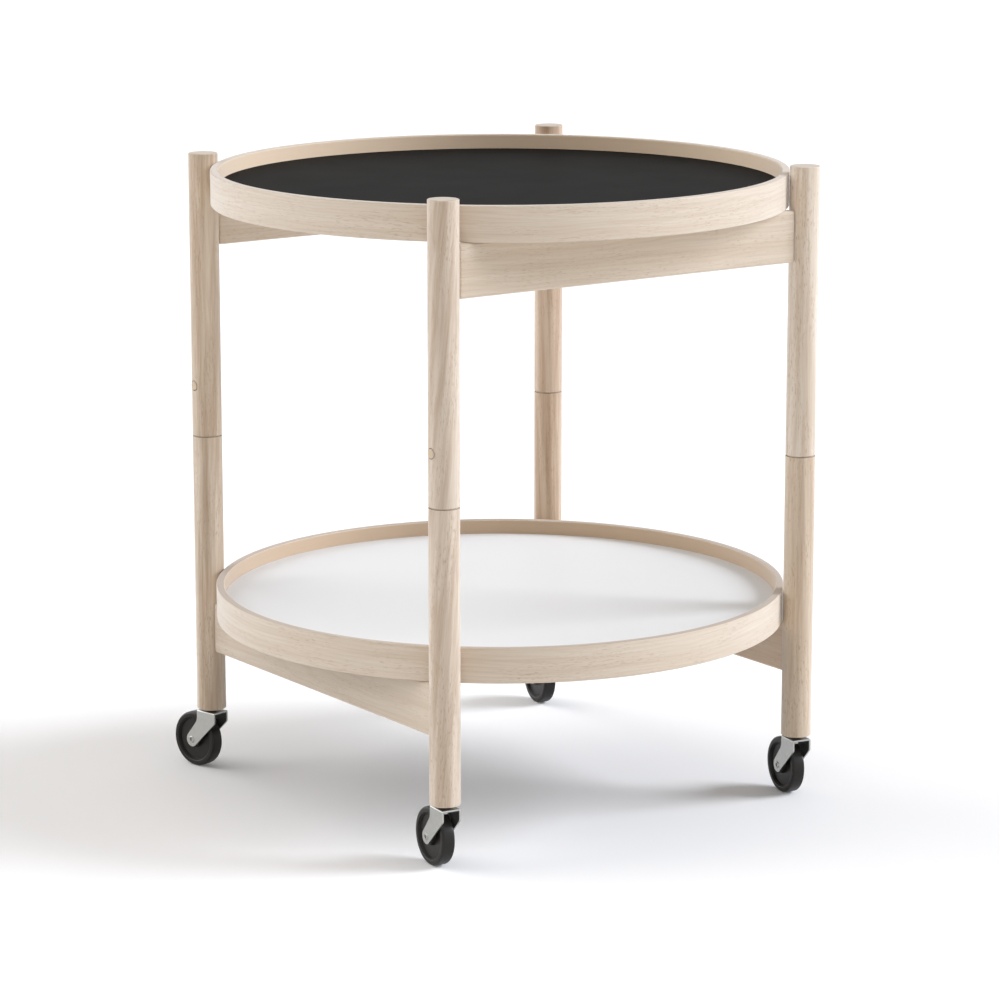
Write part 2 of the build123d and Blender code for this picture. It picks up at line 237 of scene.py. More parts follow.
@dataclass(frozen=True)
class Beech(Finish):
    """European beech, sanded and soaped.

    Soaping keeps the wood pale and matt. Up close it shows growth rings as faint bands, fine fibres,
    and the short dark dashes of the medullary rays.

    Attributes:
        grain: Which way the fibres run.
        shift_mm: Which stretch of an endless board the piece is cut from.
        pale: The colour of the palest wood.
        deep: The colour of the deepest wood.
        streak: How much the slow changes of tone show.
        fibres: How much the fibres show.
        rays: How much the rays show.
        end: The colour of end grain, and the painted shade on a hoop's top and bottom edges.
        inside: The colour of a hoop's inner face, if it has one, which is painted light and painted shade on that
            face.
        lean_deg: How far the grain leans from the piece's own axis, about X and about Y.
    """

    grain: Grain
    shift_mm: tuple[float, float, float]
    pale: str = "#e4d8c8"
    deep: str = "#c3ab8e"
    streak: float = 0.2
    fibres: float = 0.16
    rays: float = 0.34
    end: str = "#9a815c"
    inside: str = ""
    lean_deg: tuple[float, float] = (0.0, 0.0)

    # How deep the wood is, between pale and deep, before its rings and fibres are added
    DEPTH: ClassVar[float] = 0.31
    TONE: ClassVar[Streaks] = Streaks(230.0, 6.0, 3.0, 0.33, 0.67)
    # Fibres are far finer than 0.1 mm, drawn as bundles of about 1 mm that show
    FIBRE: ClassVar[Streaks] = Streaks(34.0, 0.95, 2.0, 0.30, 0.72)
    # Rays are about 0.3 mm wide, drawn about twice as wide so that they show at a pixel per millimetre
    RAY_DASH: ClassVar[Streaks] = Streaks(6.0, 0.75, 1.0, 0.58, 0.68)
    RAY_STAND: ClassVar[Streaks] = Streaks(70.0, 16.0, 1.0, 0.34, 0.62)
    RAY_COLOUR: ClassVar[str] = "#a98767"
    RING_MM: ClassVar[float] = 3.4
    RING_DEPTH: ClassVar[float] = 0.12
    # Through one ring: pale early wood, then late wood up to a dark line
    RING_CURVE: ClassVar[tuple[tuple[float, float], ...]] = (
        (0.0, 0.55),
        (0.16, 0.05),
        (0.62, 0.25),
        (0.92, 1.0),
        (1.0, 0.55),
    )
    RING_WANDER: ClassVar[Streaks] = Streaks(140.0, 38.0, 2.0)
    RING_WANDER_MM: ClassVar[float] = 22.0
    # Where the pith lies across the board, well outside the piece
    PITH_MM: ClassVar[tuple[float, float]] = (95.0, -60.0)
    HOOP_RADIUS_MM: ClassVar[float] = 250.0
    # A hoop's pattern has its two ends on the side that is away from the camera
    HOOP_SEAM_DEG: ClassVar[float] = 54.9
    # Which way the end grain looks, or a hoop's top and bottom edges, which take a painted shade
    CUT_AXIS: ClassVar[dict[Grain, tuple[float, float, float]]] = {
        Grain.ALONG_X: (1.0, 0.0, 0.0),
        Grain.ALONG_Y: (0.0, 1.0, 0.0),
        Grain.ALONG_Z: (0.0, 0.0, 1.0),
        Grain.AROUND_Z: (0.0, 0.0, 1.0),
    }
    # How far a face is turned to a colour's axis where it starts to take that colour, and where it has its full
    # share: end grain's own colour, a hoop edge's painted shade, a hoop's inner painted light and shade
    TURNED: ClassVar[tuple[float, float]] = (0.75, 0.97)
    DEEPER_SHARE: ClassVar[float] = 0.85
    # Roughness along the grain, from a fibre's top to the next one's, and of a cut face
    SANDED: ClassVar[tuple[float, float]] = (0.46, 0.54)
    SAWN: ClassVar[float] = 0.9

    def _surface(self, tree: Tree) -> Socket:
        """Makes the wood's shader.

        Args:
            tree: The material's node tree.

        Returns:
            The shader.
        """
        coordinates = add_node(tree, "ShaderNodeTexCoord").outputs
        board = self._board(tree, coordinates["Object"])
        fibre = self.FIBRE.pattern(tree, board)
        dashes, stands = self.RAY_DASH.pattern(tree, board), self.RAY_STAND.pattern(tree, board)
        rays = add_node(tree, "ShaderNodeMath", {0: dashes, 1: stands}, operation="MULTIPLY").outputs[0]
        flecks = add_node(tree, "ShaderNodeMath", {0: rays, 1: self.rays}, operation="MULTIPLY").outputs[0]
        # Half of the streaks' strength comes off, so that stronger ones leave the mean tone as it is
        depth = self.DEPTH - self.streak / 2
        for pattern, strength in (
            (self._rings(tree, board), self.RING_DEPTH),
            (self.TONE.pattern(tree, board), self.streak),
            (fibre, self.fibres),
        ):
            inputs = {0: pattern, 1: strength, 2: depth}
            depth = add_node(tree, "ShaderNodeMath", inputs, operation="MULTIPLY_ADD").outputs[0]
        # End grain takes its own colour; on a hoop this picks the top and bottom edges, which get a painted shade
        cut = self._share(tree, coordinates["Normal"], self.CUT_AXIS[self.grain], True)
        layers = [(depth, self.deep), (flecks, self.RAY_COLOUR), (cut, self.end)]
        # A hoop's inner face takes a colour that is painted light and painted shade
        if self.inside:
            inwards = self._inwards(tree, coordinates["Object"])
            layers.append((self._share(tree, coordinates["Normal"], inwards, False), self.inside))
        colour = linear(self.pale)
        for share, deeper in layers:
            inputs = {0: share, 6: colour, 7: linear(deeper)}
            colour = add_node(tree, "ShaderNodeMix", inputs, data_type="RGBA").outputs[2]
        height = add_node(tree, "ShaderNodeMath", {0: fibre, 1: rays}, operation="SUBTRACT").outputs[0]
        relief = {"Strength": 0.25, "Distance": 0.03 * MM, "Height": height}
        smooth, rough = self.SANDED
        sanded = add_node(tree, "ShaderNodeMapRange", {"Value": fibre, "To Min": smooth, "To Max": rough})
        gloss = {"Value": cut, "To Min": sanded.outputs["Result"], "To Max": self.SAWN}
        looks = {
            "Base Color": colour,
            "Roughness": add_node(tree, "ShaderNodeMapRange", gloss).outputs["Result"],
            "IOR": 1.45,
            "Specular IOR Level": 0.5,
            "Diffuse Roughness": 0.4,
            "Sheen Weight": 0.45,
            "Sheen Roughness": 0.5,
            "Normal": add_node(tree, "ShaderNodeBump", relief).outputs["Normal"],
        }
        return add_node(tree, "ShaderNodeBsdfPrincipled", looks).outputs[0]

    def _board(self, tree: Tree, place: Socket) -> Socket:
        """Turns a place into board coordinates: along the grain and twice across it, in millimetres.

        Args:
            tree: The material's node tree.
            place: The object coordinates, in metres.

        Returns:
            The board coordinates.
        """
        around = self.grain is Grain.AROUND_Z
        turns = (*self.lean_deg, 180.0 - self.HOOP_SEAM_DEG if around else 0.0)
        inputs = {
            "Vector": place,
            "Rotation": tuple(math.radians(turn) for turn in turns),
            "Scale": (1 / MM, 1 / MM, 1 / MM),
        }
        turned = add_node(tree, "ShaderNodeMapping", inputs).outputs[0]
        parts = add_node(tree, "ShaderNodeSeparateXYZ", {"Vector": turned}).outputs
        if around:
            angle = add_node(tree, "ShaderNodeMath", {0: parts["Y"], 1: parts["X"]}, operation="ARCTAN2")
            inputs = {0: angle.outputs[0], 1: self.HOOP_RADIUS_MM}
            along = add_node(tree, "ShaderNodeMath", inputs, operation="MULTIPLY").outputs[0]
            level = add_node(tree, "ShaderNodeCombineXYZ", {"X": parts["X"], "Y": parts["Y"]}).outputs[0]
            reach = add_node(tree, "ShaderNodeVectorMath", {0: level}, operation="LENGTH").outputs["Value"]
            order = (along, reach, parts["Z"])
        else:
            names = {Grain.ALONG_X: "XYZ", Grain.ALONG_Y: "YXZ", Grain.ALONG_Z: "ZXY"}[self.grain]
            order = tuple(parts[name] for name in names)
        board = add_node(tree, "ShaderNodeCombineXYZ", dict(enumerate(order))).outputs[0]
        return add_node(tree, "ShaderNodeVectorMath", {0: board, 1: self.shift_mm}, operation="ADD").outputs[0]

    def _rings(self, tree: Tree, board: Socket) -> Socket:
        """The growth rings, as uneven bands round a pith that lies beside the piece.

        Args:
            tree: The material's node tree.
            board: The board coordinates.

        Returns:
            How deep the wood is, from 0 to 1.
        """
        right, up = self.PITH_MM
        inputs = {0: board, 1: (0.0, 1.0, 1.0), 2: (0.0, -right, -up)}
        across = add_node(tree, "ShaderNodeVectorMath", inputs, operation="MULTIPLY_ADD").outputs[0]
        reach = add_node(tree, "ShaderNodeVectorMath", {0: across}, operation="LENGTH").outputs["Value"]
        inputs = {0: self.RING_WANDER.noise(tree, board), 1: self.RING_WANDER_MM, 2: reach}
        bent = add_node(tree, "ShaderNodeMath", inputs, operation="MULTIPLY_ADD").outputs[0]
        years = add_node(tree, "ShaderNodeMath", {0: bent, 1: self.RING_MM}, operation="DIVIDE").outputs[0]
        season = add_node(tree, "ShaderNodeMath", {0: years}, operation="FRACT").outputs[0]
        depth = add_node(tree, "ShaderNodeFloatCurve", {"Value": season})
        points = depth.mapping.curves[0].points
        points[0].location, points[1].location = self.RING_CURVE[0], self.RING_CURVE[-1]
        for place, value in self.RING_CURVE[1:-1]:
            points.new(place, value)
        depth.mapping.update()
        return depth.outputs[0]

    def _inwards(self, tree: Tree, place: Socket) -> Socket:
        """The level direction from a place to the hoop's axis.

        Args:
            tree: The material's node tree.
            place: The object coordinates.

        Returns:
            The direction, with length 1.
        """
        inputs = {0: place, 1: (-1.0, -1.0, 0.0)}
        level = add_node(tree, "ShaderNodeVectorMath", inputs, operation="MULTIPLY").outputs[0]
        return add_node(tree, "ShaderNodeVectorMath", {0: level}, operation="NORMALIZE").outputs[0]

    def _share(
        self, tree: Tree, normal: Socket, axis: tuple[float, float, float] | Socket, both_ways: bool
    ) -> Socket:
        """How much of another colour a face gets, by the way it faces: end grain's own colour, or a hoop's painted
        shade and painted light.

        Args:
            tree: The material's node tree.
            normal: The surface's normal.
            axis: The direction in which the deeper colour is full.
            both_ways: Whether the opposite direction gets it too.

        Returns:
            The share.
        """
        inputs = {0: normal, 1: axis}
        facing = add_node(tree, "ShaderNodeVectorMath", inputs, operation="DOT_PRODUCT").outputs["Value"]
        if both_ways:
            facing = add_node(tree, "ShaderNodeMath", {0: facing}, operation="ABSOLUTE").outputs[0]
        start, full = self.TURNED
        inputs = {"Value": facing, "From Min": start, "From Max": full, "To Max": self.DEEPER_SHARE}
        return add_node(tree, "ShaderNodeMapRange", inputs).outputs["Result"]


@dataclass(frozen=True)
class Grained(Finish):
    """A finish with a fine, even grain in its relief and soft clouds in its gloss.

    Attributes:
        colour: Its colour.
        roughness: How rough it is on average.
    """

    colour: str
    roughness: float

    GRAIN_MM: ClassVar[float]
    GRAIN_DEPTH_MM: ClassVar[float]
    GRAIN_STRENGTH: ClassVar[float]
    CLOUD_MM: ClassVar[float]
    CLOUD_DETAIL: ClassVar[float]
    # How much smoother and how much rougher than the average its clouds are
    CLOUD_GLOSS: ClassVar[tuple[float, float]]

    def _surface(self, tree: Tree) -> Socket:
        """Makes the shader.

        Args:
            tree: The material's node tree.

        Returns:
            The shader.
        """
        place = add_node(tree, "ShaderNodeTexCoord").outputs["Object"]
        inputs = {"Vector": place, "Scale": 1 / (self.GRAIN_MM * MM), "Detail": 2.0}
        grain = add_node(tree, "ShaderNodeTexNoise", inputs).outputs[0]
        inputs = {"Vector": place, "Scale": 1 / (self.CLOUD_MM * MM), "Detail": self.CLOUD_DETAIL}
        cloud = add_node(tree, "ShaderNodeTexNoise", inputs).outputs[0]
        relief = {"Strength": self.GRAIN_STRENGTH, "Distance": self.GRAIN_DEPTH_MM * MM, "Height": grain}
        smoother, rougher = self.CLOUD_GLOSS
        gloss = {"Value": cloud, "To Min": self.roughness - smoother, "To Max": self.roughness + rougher}
        looks = {
            "Roughness": add_node(tree, "ShaderNodeMapRange", gloss).outputs["Result"],
            "Normal": add_node(tree, "ShaderNodeBump", relief).outputs["Normal"],
            **self._body(tree, cloud),
        }
        return add_node(tree, "ShaderNodeBsdfPrincipled", looks).outputs[0]

    def _body(self, tree: Tree, cloud: Socket) -> dict[str, object]:
        """The shader's inputs that come from what the finish is made of."""
        raise NotImplementedError


@dataclass(frozen=True)
class Laminate(Grained):
    """High-pressure laminate, pressed against a finely textured plate.

    The pressed texture spreads reflections wide, so the surface is satin and even.

    Attributes:
        specular: How much it reflects.
    """

    specular: float

    # The pressed grain is about 0.2 mm, drawn at 0.8 mm so that it shows
    GRAIN_MM: ClassVar[float] = 0.8
    GRAIN_DEPTH_MM: ClassVar[float] = 0.01
    GRAIN_STRENGTH: ClassVar[float] = 0.2
    CLOUD_MM: ClassVar[float] = 60.0
    CLOUD_DETAIL: ClassVar[float] = 3.0
    CLOUD_GLOSS: ClassVar[tuple[float, float]] = (0.03, 0.03)

    def _body(self, tree: Tree, cloud: Socket) -> dict[str, object]:
        """The shader's inputs that come from the resin and the paper in it."""
        return {"Base Color": linear(self.colour), "IOR": 1.5, "Specular IOR Level": self.specular}


@dataclass(frozen=True)
class Steel(Grained):
    """Mild steel with a thin plated skin, or a dark brown one that is painted shade and a painted reflection of
    wood.

    Plating follows the rolled or turned surface, so reflections are soft and a little cloudy.

    Attributes:
        worn_colour: The colour of the clouds.
    """

    worn_colour: str

    # Rolling marks are about 0.05 mm, drawn at 0.25 mm so that they show
    GRAIN_MM: ClassVar[float] = 0.25
    GRAIN_DEPTH_MM: ClassVar[float] = 0.01
    GRAIN_STRENGTH: ClassVar[float] = 0.15
    CLOUD_MM: ClassVar[float] = 4.0
    CLOUD_DETAIL: ClassVar[float] = 4.0
    CLOUD_GLOSS: ClassVar[tuple[float, float]] = (0.08, 0.08)

    def _body(self, tree: Tree, cloud: Socket) -> dict[str, object]:
        """The shader's inputs that come from the metal and its skin.

        Args:
            tree: The material's node tree.
            cloud: The clouds, from 0 to 1.

        Returns:
            The inputs.
        """
        inputs = {0: cloud, 6: linear(self.colour), 7: linear(self.worn_colour)}
        skin = add_node(tree, "ShaderNodeMix", inputs, data_type="RGBA").outputs[2]
        return {"Base Color": skin, "Metallic": 1.0}


@dataclass(frozen=True)
class Nylon(Grained):
    """Black nylon, injection moulded in a spark-eroded mould.

    The mould leaves an even, very fine grain, so highlights are broad and grey.
    """

    # The mould's grain is about 0.1 mm, drawn at 0.35 mm so that it shows
    GRAIN_MM: ClassVar[float] = 0.35
    GRAIN_DEPTH_MM: ClassVar[float] = 0.02
    GRAIN_STRENGTH: ClassVar[float] = 0.25
    CLOUD_MM: ClassVar[float] = 6.0
    CLOUD_DETAIL: ClassVar[float] = 4.0
    CLOUD_GLOSS: ClassVar[tuple[float, float]] = (0.06, 0.08)

    def _body(self, tree: Tree, cloud: Socket) -> dict[str, object]:
        """The shader's inputs that come from the plastic."""
        return {"Base Color": linear(self.colour), "IOR": 1.53, "Specular IOR Level": 0.25}


@dataclass(frozen=True)
class StudioPaper(Finish):
    """The pale floor, which keeps the shadow and shows white where light falls freely.

    Attributes:
        colour: The paper's colour.
        lift: How much it glows where it is seen straight or in a reflection.
    """

    colour: str
    lift: float

    def _surface(self, tree: Tree) -> Socket:
        """Makes the paper's shader.

        Args:
            tree: The material's node tree.

        Returns:
            The shader.
        """
        paper = add_node(tree, "ShaderNodeBsdfDiffuse", {"Color": linear(self.colour)}).outputs[0]
        inputs = {0: seen_by(tree, "Is Camera Ray", "Is Glossy Ray"), 1: self.lift}
        strength = add_node(tree, "ShaderNodeMath", inputs, operation="MULTIPLY").outputs[0]
        glow = add_node(tree, "ShaderNodeEmission", {"Strength": strength}).outputs[0]
        return add_node(tree, "ShaderNodeAddShader", {0: paper, 1: glow}).outputs[0]


@dataclass(frozen=True)
class Lamp:
    """A far, wide lamp.

    Attributes:
        name: The lamp's name.
        colour: The colour of its light.
        strength: Its irradiance.
        side_deg: How far round to the camera's right it stands, from straight behind the camera.
        height_deg: Its height above the horizon.
        spread_deg: How wide it is, which softens its shadows.
    """

    name: str
    colour: str
    strength: float
    side_deg: float
    height_deg: float
    spread_deg: float

    def build(self, right: Vector, near: Vector) -> None:
        """Adds the lamp.

        Args:
            right: The level direction to the camera's right.
            near: The level direction towards the camera.
        """
        side, height = math.radians(self.side_deg), math.radians(self.height_deg)
        level = right * math.sin(side) + near * math.cos(side)
        towards = level * math.cos(height) + Vector((0.0, 0.0, math.sin(height)))
        light = bpy.data.lights.new(self.name, "SUN")
        light.energy = self.strength
        light.color = linear(self.colour)[:3]
        light.angle = math.radians(self.spread_deg)
        lamp = bpy.data.objects.new(self.name, light)
        bpy.context.collection.objects.link(lamp)
        lamp.rotation_euler = towards.to_track_quat("Z", "Y").to_euler()


@dataclass
class Studio:
    """The floor, the daylight, the lamps and the camera.

    The camera's values come from solving the viewpoint on the rims, leg tops and leg feet.
    """

    lens_mm: float = 138.9
    sensor_mm: float = 36.0
    camera_distance: float = 3.3955
    camera_azimuth_deg: float = 35.11
    camera_pitch_deg: float = 12.066
    aim_height: float = 0.25727
    floor_size: float = 60.0
    sky_low: float = 0.53
    sky_high: float = 0.38
    sky_colour: str = "#fcfdfe"
    backdrop_colour: str = "#ffffff"
    lamps: tuple[Lamp, ...] = (
        Lamp("window", "#ecf3ff", strength=3.7, side_deg=93, height_deg=28, spread_deg=30),
        Lamp("fill", "#fbfcff", strength=2.1, side_deg=-107, height_deg=27, spread_deg=66),
        Lamp("front", "#fbfcff", strength=0.1, side_deg=10, height_deg=52, spread_deg=40),
    )

    def build(self) -> None:
        """Makes the whole studio."""
        azimuth = math.radians(self.camera_azimuth_deg)
        right = Vector((math.cos(azimuth), -math.sin(azimuth), 0.0))
        near = Vector((-math.sin(azimuth), -math.cos(azimuth), 0.0))
        self._floor()
        self._world()
        for lamp in self.lamps:
            lamp.build(right, near)
        self._camera(near)
        bpy.context.scene.view_settings.view_transform = "Standard"

    def _floor(self) -> None:
        """Lays the floor."""
        bpy.ops.mesh.primitive_plane_add(size=self.floor_size)
        floor = bpy.context.object
        floor.name = "studio_floor"
        floor.data.materials.append(StudioPaper("studio paper, matt", "#f7f4f1", lift=0.08).build())

    def _world(self) -> None:
        """Sets an even sky that lights softly and shows white."""
        world = bpy.data.worlds.new("studio")
        bpy.context.scene.world = world
        world.use_nodes = True
        tree = world.node_tree
        tree.nodes.clear()
        shown = seen_by(tree, "Is Camera Ray", "Is Glossy Ray", "Is Transmission Ray")
        place = add_node(tree, "ShaderNodeTexCoord").outputs["Generated"]
        height = add_node(tree, "ShaderNodeSeparateXYZ", {"Vector": place}).outputs["Z"]
        inputs = {"Value": height, "To Min": self.sky_low, "To Max": self.sky_high}
        level = add_node(tree, "ShaderNodeMapRange", inputs).outputs["Result"]
        inputs = {"Value": shown, "To Min": level, "To Max": 1.0}
        strength = add_node(tree, "ShaderNodeMapRange", inputs).outputs["Result"]
        inputs = {0: shown, 6: linear(self.sky_colour), 7: linear(self.backdrop_colour)}
        colour = add_node(tree, "ShaderNodeMix", inputs, data_type="RGBA").outputs[2]
        sky = add_node(tree, "ShaderNodeBackground", {"Color": colour, "Strength": strength}).outputs[0]
        add_node(tree, "ShaderNodeOutputWorld", {"Surface": sky})

    def _camera(self, near: Vector) -> None:
        """Sets up the camera.

        Args:
            near: The level direction towards it.
        """
        pitch = math.radians(self.camera_pitch_deg)
        back = near * math.cos(pitch) + Vector((0.0, 0.0, math.sin(pitch)))
        data = bpy.data.cameras.new("camera")
        data.lens = self.lens_mm
        data.sensor_width = self.sensor_mm
        camera = bpy.data.objects.new("camera", data)
        bpy.context.collection.objects.link(camera)
        camera.location = Vector((0.0, 0.0, self.aim_height)) + back * self.camera_distance
        camera.rotation_euler = back.to_track_quat("Z", "Y").to_euler()
        bpy.context.scene.camera = camera


@dataclass(frozen=True)
class LegWood:
    """The wood of one leg.

    Attributes:
        tones: The pale and the deep tone of its upper and its lower rod.
        lean_deg: How far its grain leans, about X and about Y.
    """

    tones: dict[Level, tuple[str, str]]
    lean_deg: tuple[float, float]


class Finishes:
    """Every material of the trolley, made once."""

    LEG_WOOD: ClassVar[dict[Corner, LegWood]] = {
        Corner.FRONT: LegWood(
            {Level.UPPER: ("#ddcfbd", "#b79c80"), Level.LOWER: ("#dfd1bf", "#b89d80")}, (-2.9, -4.1)
        ),
        Corner.RIGHT: LegWood(
            {Level.UPPER: ("#ece1d2", "#cab398"), Level.LOWER: ("#dccbb3", "#bda184")}, (-0.8, 1.1)
        ),
        Corner.BACK: LegWood(
            {Level.UPPER: ("#ddc8b1", "#b39273"), Level.LOWER: ("#dac4ab", "#ae8d6c")}, (1.2, 0.7)
        ),
        Corner.LEFT: LegWood(
            {Level.UPPER: ("#e2d2bc", "#b39677"), Level.LOWER: ("#e2d2bd", "#b39778")}, (0.9, -1.4)
        ),
    }
    # From one leg to the next, and from its upper rod to its lower one
    LEG_STEP_MM: ClassVar[tuple[float, float, float]] = (310.0, 23.0, -17.0)
    ROD_STEP_MM: ClassVar[tuple[float, float, float]] = (913.0, 57.0, 21.0)

    def __init__(self) -> None:
        """Makes the materials."""
        bent = "beech, steam bent and soaped"
        # The upper hoop's inner face is paler as painted light and the lower hoop's darker as painted shade; both
        # hoops' end colours are painted shade on their edges
        upper = {"inside": "#f8ddbc", "end": "#b09a80"}
        lower = {"inside": "#c8ac8d", "end": "#9a8065"}
        self.rims = {
            Level.UPPER: Beech(f"{bent}, upper rim", Grain.AROUND_Z, (0.0, 31.0, 7.0), **upper).build(),
            Level.LOWER: Beech(f"{bent}, lower rim", Grain.AROUND_Z, (430.0, -12.0, 61.0), **lower).build(),
        }
        self.rods = {
            (corner, level): self._rod(corner, level).build() for corner in Corner for level in Level
        }
        planed = "beech, planed and soaped"
        look = {"pale": "#e1d4c1", "deep": "#c1a88c", "streak": 0.23}
        # The right rail's paler, warmer tone is painted light that stands in for warm bounce light in the shade
        # behind the leg
        painted_light_tone = {"pale": "#f2dcc1", "deep": "#d8b493"}
        self.upper_rails = Beech(f"{planed}, upper rails", Grain.ALONG_X, (71.0, 13.0, 5.0), **look).build()
        self.lower_rails = {
            "left": Beech(f"{planed}, left rail", Grain.ALONG_Y, (11.0, 45.0, 15.0), **look).build(),
            "right": Beech(f"{planed}, right rail", Grain.ALONG_Y, (51.0, 85.0, 35.0), **painted_light_tone).build(),
        }
        self.dowels = Beech("beech, turned dowel", Grain.ALONG_X, (3.0, 8.0, 2.0), end="#cdb595").build()
        self.core = Beech("birch plywood, sanded", Grain.ALONG_X, (5.0, 1.0, 9.0)).build()
        self.laminates = {
            "black": Laminate("high-pressure laminate, black satin", "#121110", 0.5, 0.008).build(),
            "white": Laminate("high-pressure laminate, white satin", "#dad8d5", 0.5, 0.1).build(),
        }
        self.plated = Steel("steel sheet, pressed and nickel plated", "#bcbcb8", 0.36, "#aeafab").build()
        self.turned = Steel("steel, turned and nickel plated", "#c4c2bf", 0.28, "#aaa8a4").build()
        self.riveted = Steel("steel, riveted and nickel plated", "#b4b4b0", 0.3, "#9c9d99").build()
        # The collar's dark brown is painted shade under the leg foot and a painted reflection of the leg's wood
        self.shade_browned = Steel("steel, turned and browned", "#5b4a45", 0.35, "#3c302d").build()
        self.nylon = Nylon("nylon, moulded black", "#1d1a17", 0.38).build()

    def _rod(self, corner: Corner, level: Level) -> Beech:
        """The wood of one rod.

        Args:
            corner: The leg that the rod is in.
            level: Which of the leg's two rods it is.

        Returns:
            The wood, not yet built.
        """
        wood = self.LEG_WOOD[corner]
        legs, rods = list(Corner).index(corner), list(Level).index(level)
        steps = zip(self.LEG_STEP_MM, self.ROD_STEP_MM)
        shift = tuple(leg_step * legs + rod_step * rods for leg_step, rod_step in steps)
        look = {"streak": 0.52, "fibres": 0.22, "rays": 0.5, "lean_deg": wood.lean_deg}
        name = f"beech, turned and soaped, {corner.value} {level.value} rod"
        return Beech(name, Grain.ALONG_Z, shift, *wood.tones[level], **look)


class Bench:
    """One piece being shaped, from the primitive that was just added to the finished mesh."""

    SMOOTH_DEG: ClassVar[float] = 35.0

    def __init__(self, name: str) -> None:
        """Opens the active object in edit mode.

        Args:
            name: What the piece is called.
        """
        self.piece = bpy.context.object
        self.piece.name = name
        bpy.ops.object.transform_apply(location=True, rotation=True, scale=True)
        bpy.ops.object.mode_set(mode="EDIT")

    def pick(self, element: Element, test: Test) -> None:
        """Selects the faces or edges that pass a test.

        Args:
            element: Faces or edges.
            test: The test.
        """
        bpy.ops.mesh.select_mode(type=element.value)
        bpy.ops.mesh.select_all(action="DESELECT")
        mesh = bmesh.from_edit_mesh(self.piece.data)
        if element is Element.FACE:
            for face in mesh.faces:
                if test(face.calc_center_median(), face.normal):
                    face.select_set(True)
        else:
            for edge in mesh.edges:
                start, end = (vertex.co for vertex in edge.verts)
                if test((start + end) / 2, (end - start).normalized()):
                    edge.select_set(True)
        bmesh.update_edit_mesh(self.piece.data)

    def widen(self, x: float, y: float, z: float) -> None:
        """Makes what is picked wider, from the origin, by a factor along each axis."""
        bpy.ops.transform.resize(value=(x, y, z), center_override=(0.0, 0.0, 0.0))

    def step_in(self, across: float, along: float) -> None:
        """Insets the picked end faces by so much, and moves what is inside out, or in if less than 0."""
        bpy.ops.mesh.inset(thickness=across, depth=along)

    def ease(self, test: Test, width: float, segments: int = 3) -> None:
        """Rounds the edges that pass a test, over a width and with so many faces."""
        self.pick(Element.EDGE, test)
        bpy.ops.mesh.bevel(offset=width, offset_type="OFFSET", segments=segments, profile=0.5)

    def finish(self, material: bpy.types.Material) -> bpy.types.Object:
        """Closes edit mode, evens the shading and gives the piece its material.

        Args:
            material: What the piece is made of.

        Returns:
            The finished piece.
        """
        bpy.ops.object.mode_set(mode="OBJECT")
        bpy.ops.object.shade_smooth_by_angle(angle=math.radians(self.SMOOTH_DEG))
        weigh = self.piece.modifiers.new("even shading", "WEIGHTED_NORMAL")
        weigh.keep_sharp = True
        bpy.ops.object.modifier_apply(modifier=weigh.name)
        self.piece.data.materials.clear()
        self.piece.data.materials.append(material)
        return self.piece


def from_axis_x(place: Vector) -> float:
    """How far a place lies from the X axis."""
    return math.hypot(place.y, place.z)


def from_axis_z(place: Vector) -> float:
    """How far a place lies from the Z axis."""
    return math.hypot(place.x, place.y)


def close(a: float, b: float, slack: float = 0.15 * MM) -> bool:
    """Whether two lengths are the same within a little slack."""
    return abs(a - b) < slack


def circle(side: float, radius: float) -> Test:
    """A test for the edges of one circle on both sides of a piece that is turned about X.

    Args:
        side: How far the circle lies from the piece's middle.
        radius: Its radius.

    Returns:
        The test.
    """
    return lambda place, way: (
        abs(way.x) < ACROSS and close(abs(place.x), side) and close(from_axis_x(place), radius)
    )


def turned_blank(name: str, sides: int, radius: float, length: float) -> Bench:
    """Starts a piece that is turned about the X axis, from a cylinder.

    Args:
        name: What the piece is called.
        sides: How many sides the cylinder has.
        radius: Its radius.
        length: Its length.

    Returns:
        The bench with the cylinder on it.
    """
    bpy.ops.mesh.primitive_cylinder_add(
        vertices=sides, radius=radius, depth=length, rotation=(0.0, math.pi / 2, 0.0)
    )
    return Bench(name)


def copied(mesh: bpy.types.Mesh, name: str) -> bpy.types.Object:
    """Adds an object with its own copy of a mesh.

    Args:
        mesh: The mesh.
        name: The object's name.

    Returns:
        The object.
    """
    piece = bpy.data.objects.new(name, mesh.copy())
    bpy.context.collection.objects.link(piece)
    return piece


def install(piece: bpy.types.Object, node: str) -> None:
    """Puts a modelled piece in the place of a packed one.

    Args:
        piece: The modelled piece, in place.
        node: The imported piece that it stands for.
    """
    bodies = frame["record"]["behaviour"]["bodies"]
    body = next(name for name, members in bodies.items() if node in members)
    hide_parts(node)
    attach(piece, body)
    log.info("modelled %s for %s, on %s", piece.name, node, body)


def dress(node: str, material: bpy.types.Material) -> None:
    """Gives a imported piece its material.

    Args:
        node: The piece's name.
        material: What it is made of.
    """
    mesh = frame["nodes"][node].data
    mesh.materials.clear()
    mesh.materials.append(material)
    log.info("dressed %s in %s", node, material.name)


